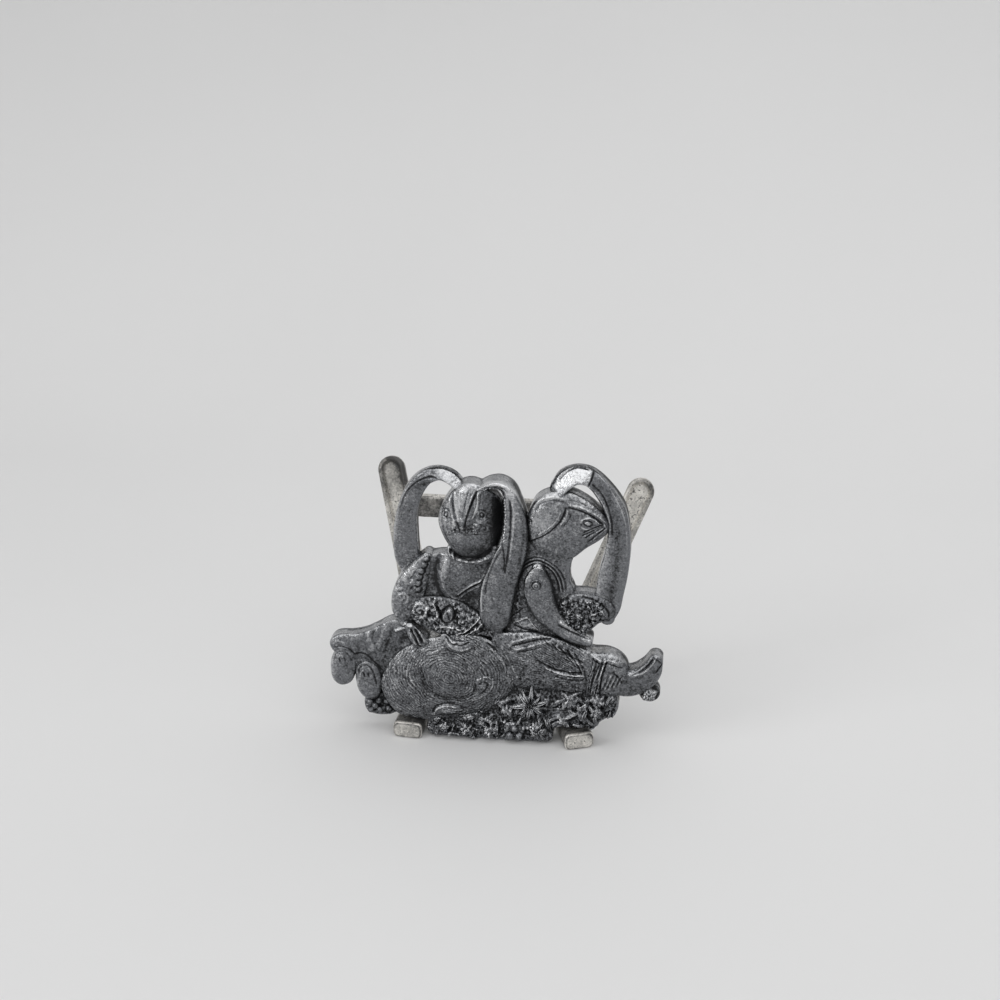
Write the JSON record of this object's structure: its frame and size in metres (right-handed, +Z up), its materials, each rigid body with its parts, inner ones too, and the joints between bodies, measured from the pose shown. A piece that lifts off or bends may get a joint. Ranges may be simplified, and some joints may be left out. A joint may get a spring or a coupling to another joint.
{
  "type": "visiting card holder",
  "caption": "Desk stand for visiting cards: an openwork cast relief of a pair of rabbits among flowers, on a plain stand of bent rails and a crossbar.",
  "frame": {"origin": "on the table, under the middle of the whole object", "axes": "+Z up, -Y the way the relief faces, +X to the right as seen from the front"},
  "size_m": [0.0792, 0.0458, 0.071],
  "materials": {
    "antiqued_pewter": "dark antiqued cast pewter with worn bright high spots",
    "plain_pewter": "plain cast pewter, light grey with fine dark speckle"
  },
  "bodies": {
    "root": {"doe_head": "antiqued_pewter", "doe_left_ear": "antiqued_pewter", "doe_right_ear": "antiqued_pewter", "doe_collar": "antiqued_pewter", "doe_bodice": "antiqued_pewter", "doe_sleeve": "antiqued_pewter", "doe_left_paw": "antiqued_pewter", "doe_right_paw": "antiqued_pewter", "doe_bouquet": "antiqued_pewter", "doe_skirt": "antiqued_pewter", "doe_hem": "antiqued_pewter", "doe_front_foot": "antiqued_pewter", "doe_rear_foot": "antiqued_pewter", "buck_head": "antiqued_pewter", "buck_ear": "antiqued_pewter", "buck_shirt": "antiqued_pewter", "buck_arm": "antiqued_pewter", "buck_button": "antiqued_pewter", "buck_posy": "antiqued_pewter", "buck_trousers": "antiqued_pewter", "buck_trouser_cuff": "antiqued_pewter", "buck_shoe": "antiqued_pewter", "shoe_flower": "antiqued_pewter", "large_flower": "antiqued_pewter", "front_flower": "antiqued_pewter", "left_berries": "antiqued_pewter", "front_berries": "antiqued_pewter", "grass_bed": "antiqued_pewter", "back_plate": "antiqued_pewter", "left_leg": "plain_pewter", "right_leg": "plain_pewter", "crossbar": "plain_pewter", "left_solder_bead": "plain_pewter", "right_solder_bead": "plain_pewter"}
  },
  "joints": []
}
